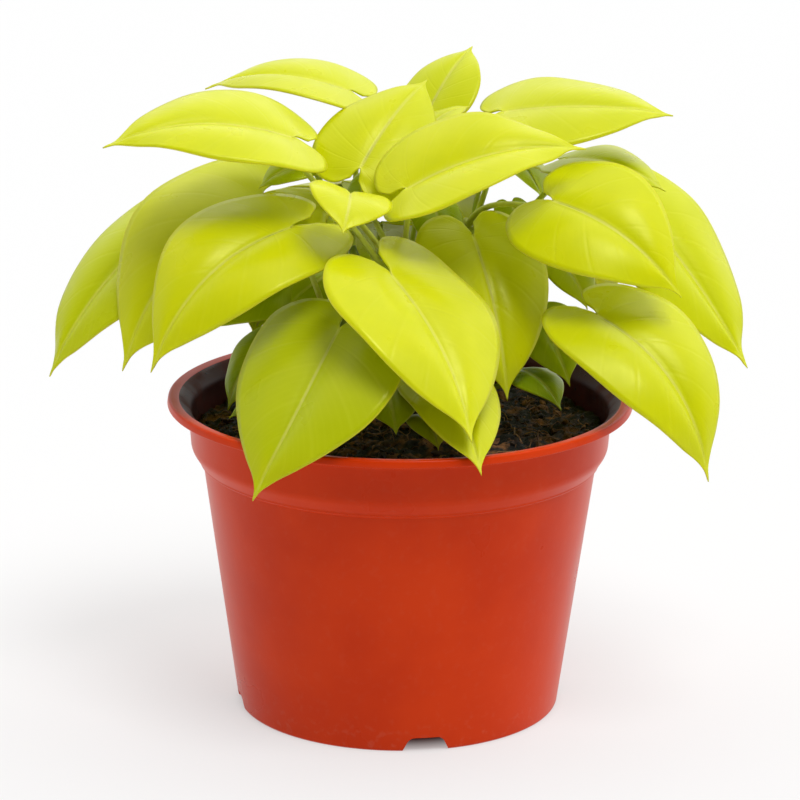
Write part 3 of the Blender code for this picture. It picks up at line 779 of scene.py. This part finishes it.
# Leaves whose midrib bows noticeably to one side on its way to the tip, as a share of length.
BOWED = {"leaf_01": 0.030, "leaf_04": 0.050, "leaf_05": -0.030, "leaf_06": -0.030,
         "leaf_11": 0.025, "leaf_15": 0.030, "leaf_17": 0.035}

# Leaves whose lobes reach further back beside the stalk: how many times, right and left of it.
LOBED = {"leaf_01": (1.1, 1.75), "leaf_05": (1.3, 1.2), "leaf_18": (2.1, 2.1)}


def leaf_shape(name, vine, share, base, tip, roll, width, arch, fold, curl, green, seed):
    """A blade laid out along its midrib and given its thickness, then its stalk and rib."""
    base = in_the_mouth(base)
    tip = in_the_mouth(tip)
    length, along, left, normal = blade_directions(base, tip, roll)
    waves = random.Random(seed)
    phase = [waves.random() * math.tau for _ in range(4)]
    beat = [2.2 + waves.random() * 1.2, 3.4 + waves.random() * 1.6]
    sway = BOWED.get(name, (waves.random() - 0.5) * 0.03)

    shape = bmesh.new()
    bmesh.ops.create_grid(shape, x_segments=STATIONS, y_segments=ACROSS, size=1.0, calc_uvs=False)
    veins = shape.loops.layers.uv.new("veins")
    off_rib = shape.verts.layers.float.new("off_rib")
    greenness = shape.verts.layers.float.new("greenness")
    for face in shape.faces:
        for loop in face.loops:
            s = loop.vert.co.x * 0.5 + 0.5
            loop[veins].uv = (s, loop.vert.co.y * 0.5 + 0.5)
    for vert in shape.verts:
        s = vert.co.x * 0.5 + 0.5
        v = vert.co.y
        ex, ey, root = edge_stations[round(s * STATIONS)]
        if ex < 0:
            ex *= LOBED.get(name, (1.0, 1.0))[v > 0]
        out = abs(v)
        side = 1 if v > 0 else -1
        x = root + (ex - root) * out ** 1.2
        y = ey * out
        rise = blade_rise(x, y, arch, fold, curl)
        body = math.sin(min(max(x + 0.10, 0.0), 1.0) * math.pi) ** 0.7 if x > -0.10 else 0.0
        rise += PUFF * body * math.sin(math.pi * out ** 0.8)
        ripple = (math.sin(s * beat[0] * math.tau + phase[0 if side > 0 else 1]) * WAVE
                  + math.sin(s * beat[1] * math.tau + phase[2 if side > 0 else 3]) * SMALL_WAVE)
        rise += ripple * out ** 2.5 * math.sin(math.pi * min(s * 1.05, 1.0)) ** 0.5
        bow = sway * math.sin(math.pi * min(max(x, 0.0), 1.0))
        vert.co = base + (along * x + left * (side * y * width + bow) + normal * rise) * length
        vert[off_rib] = y * width * length
        # The greenness is partly the leaf's age and partly painted shade for leaves that sit in
        # shade.
        vert[greenness] = green
    bmesh.ops.remove_doubles(shape, verts=shape.verts, dist=0.00001)
    bmesh.ops.recalc_face_normals(shape, faces=shape.faces)
    if sum((f.normal * f.calc_area() for f in shape.faces), Vector()).dot(normal) < 0:
        bmesh.ops.reverse_faces(shape, faces=shape.faces)
    bmesh.ops.solidify(shape, geom=shape.faces, thickness=BLADE_THICKNESS)
    # Where the two lobes meet, a corner of the underside can be thrown far out as a spike. It is
    # the only corner with no short edge, and it goes back between its neighbours.
    thrown = [vert for vert in shape.verts
              if min(edge.calc_length() for edge in vert.link_edges) > LONGEST_STEP]
    bmesh.ops.smooth_vert(shape, verts=thrown, factor=1.0,
                          use_axis_x=True, use_axis_y=True, use_axis_z=True)

    up_the_vine = smooth_through([in_the_mouth(p) for p in VINES[vine]], VINE_STEPS + 1)
    root = up_the_vine[round(share * VINE_STEPS)]
    away = base - root
    flat = Vector((away.x, away.y, 0)).normalized()
    start = root + flat * (VINE_RADIUS + STALK_GAP + STALK_RADIUS * 0.8)
    under = base + (along * RIB_START + normal * blade_rise(RIB_START, 0, arch, 0, 0)) * length
    end = under - normal * (BLADE_THICKNESS + STALK_RADIUS * 0.5)
    reach = (end - start).length
    second = start + flat * reach * 0.16 + Vector((0, 0, 0.30)) * reach
    third = end - normal * reach * 0.30 - along * reach * 0.16
    route = [root + flat * VINE_RADIUS * 0.5]
    radii = [STALK_RADIUS * 1.5]
    for step in range(STALK_STEPS + 1):
        t = step / STALK_STEPS
        u = 1 - t
        route.append(start * u ** 3 + second * 3 * u * u * t + third * 3 * u * t * t + end * t ** 3)
        foot = 0.45 * max(0.0, 1 - t * 6)
        radii.append(STALK_RADIUS * (1.0 + foot - 0.12 * math.sin(t * math.pi)))
    for step in range(1, RIB_STEPS + 1):
        x = RIB_START + RIB_LENGTH * step / RIB_STEPS
        taper = STALK_RADIUS * (0.85 - 0.70 * step / RIB_STEPS)
        rise = blade_rise(x, 0, arch, 0, 0)
        bow = sway * math.sin(math.pi * x)
        route.append(base + (along * x + left * bow + normal * rise) * length
                     - normal * (BLADE_THICKNESS + taper * 0.35))
        radii.append(taper)
    stalk = sweep(shape, route, radii, 10)
    for face in stalk:
        face.material_index = 1
        for vert in face.verts:
            vert[greenness] = green
    bmesh.ops.recalc_face_normals(shape, faces=stalk)
    return shape


leaf_look = bpy.data.materials.new("lime_leaf")
stalk_look = bpy.data.materials.new("leaf_stalk")
for seed, (name, *row) in enumerate(LEAVES):
    shape = leaf_shape(name, *row, seed)
    leaf = add_piece(name.replace("leaf", "heart_leaf"), shape, [leaf_look, stalk_look])
    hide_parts(name)

# The blade's skin: lime to green by age, and a deeper green as painted shade on leaves that sit in
# shade, paler along the ribs, fine side veins that curve to the edge, a thin straw-coloured margin,
# and a soft waxy sheen.
shader, add, join = start_look(leaf_look, 0.40)
shader.inputs["Specular IOR Level"].default_value = 0.38
shader.inputs["Specular Tint"].default_value = (1.0, 1.0, 0.45, 1.0)
shader.inputs["Subsurface Weight"].default_value = 0.30
shader.inputs["Subsurface Radius"].default_value = (0.8, 0.9, 0.06)
shader.inputs["Subsurface Scale"].default_value = 0.003
where = add("ShaderNodeTexCoord").outputs["Object"]
vein_map = add("ShaderNodeUVMap", uv_map="veins").outputs["UV"]
grown = add("ShaderNodeSeparateXYZ", inputs={"Vector": vein_map})
station, crossing = grown.outputs["X"], grown.outputs["Y"]
off_rib = add("ShaderNodeAttribute", attribute_name="off_rib").outputs["Fac"]
age_and_shade = add("ShaderNodeAttribute", attribute_name="greenness").outputs["Fac"]
from_middle = times_plus(add, crossing, 2.0, -1.0)
out = add("ShaderNodeMath", operation="ABSOLUTE", inputs={0: from_middle}).outputs[0]
swept = times_plus(add, out, -0.13, station)


def vein_lines(count, width, shift):
    """Lines along the side veins: 1 on a vein, falling to 0 between two."""
    spaced = times_plus(add, swept, float(count), shift)
    beat = add("ShaderNodeMath", operation="PINGPONG", inputs={0: spaced, 1: 0.5})
    return spread(add, beat.outputs[0], width, 0.0)


main_veins = vein_lines(9, 0.09, 0.0)
fine_veins = vein_lines(44, 0.30, 0.3)
beside = add("ShaderNodeMath", operation="ABSOLUTE", inputs={0: off_rib}).outputs[0]
rib = spread(add, beside, 0.0008, 0.0002)
to_tip = spread(add, station, 0.55, 1.0, 1.0, 0.25)
rib = times_plus(add, rib, to_tip)
margin = spread(add, out, 0.975, 0.998)
cloud = add_blotches(add, where, 75.0, 3.0, 0.25, 0.75)
# Lime to deep green by greenness: partly age, partly painted shade on leaves that sit in shade.
skin = blend_colours(add, age_and_shade, (0.660, 0.685, 0.0010, 1), (0.200, 0.320, 0.0010, 1))
cloudy = spread(add, cloud, 0.0, 1.0, 0.0, 0.30)
skin = blend_colours(add, cloudy, skin, (0.500, 0.560, 0.0010, 1))
for mask, strength, colour in ((fine_veins, 0.035, (0.70, 0.74, 0.050, 1)),
                               (main_veins, 0.06, (0.72, 0.74, 0.060, 1)),
                               (rib, 0.40, (0.86, 0.86, 0.220, 1)),
                               (margin, 0.35, (0.72, 0.60, 0.050, 1))):
    skin = blend_colours(add, times_plus(add, mask, strength), skin, colour)
join(skin, "Base Color")
join(spread(add, cloud, 0.0, 1.0, 0.27, 0.40), "Roughness")
pores = add("ShaderNodeTexNoise", inputs={"Vector": where, "Scale": 1500.0, "Detail": 2.0})
dips = 0.5
for mask, depth in ((main_veins, -0.15), (fine_veins, -0.03), (rib, -0.35),
                    (pores.outputs["Fac"], 0.05)):
    dips = times_plus(add, mask, depth, dips)
relief = add("ShaderNodeBump", inputs={"Strength": 0.55, "Distance": 0.0004, "Height": dips})
join(relief.outputs["Normal"], "Normal")

# The stalk: smooth, yellow-green where the light gets in and greener on the older leaves, with a
# deeper green as painted shade on leaves that sit in shade.
shader, add, join = start_look(stalk_look, 0.38)
shader.inputs["Subsurface Weight"].default_value = 0.20
shader.inputs["Subsurface Radius"].default_value = (0.8, 0.9, 0.06)
shader.inputs["Subsurface Scale"].default_value = 0.002
where = add("ShaderNodeTexCoord").outputs["Object"]
age_and_shade = add("ShaderNodeAttribute", attribute_name="greenness").outputs["Fac"]
# The stalk's green deepens with the same greenness, partly age and partly painted shade.
tissue = blend_colours(add, age_and_shade, (0.560, 0.620, 0.045, 1), (0.300, 0.420, 0.020, 1))
mottled = add_blotches(add, where, 260.0, 3.0, 0.30, 0.70)
mottling = spread(add, mottled, 0.0, 1.0, 0.0, 0.35)
join(blend_colours(add, mottling, tissue, (0.330, 0.330, 0.022, 1)), "Base Color")
stringy = add("ShaderNodeTexNoise", inputs={"Vector": where, "Scale": 1100.0, "Detail": 2.0})
relief = add("ShaderNodeBump",
             inputs={"Strength": 0.3, "Distance": 0.0002, "Height": stringy.outputs["Fac"]})
join(relief.outputs["Normal"], "Normal")
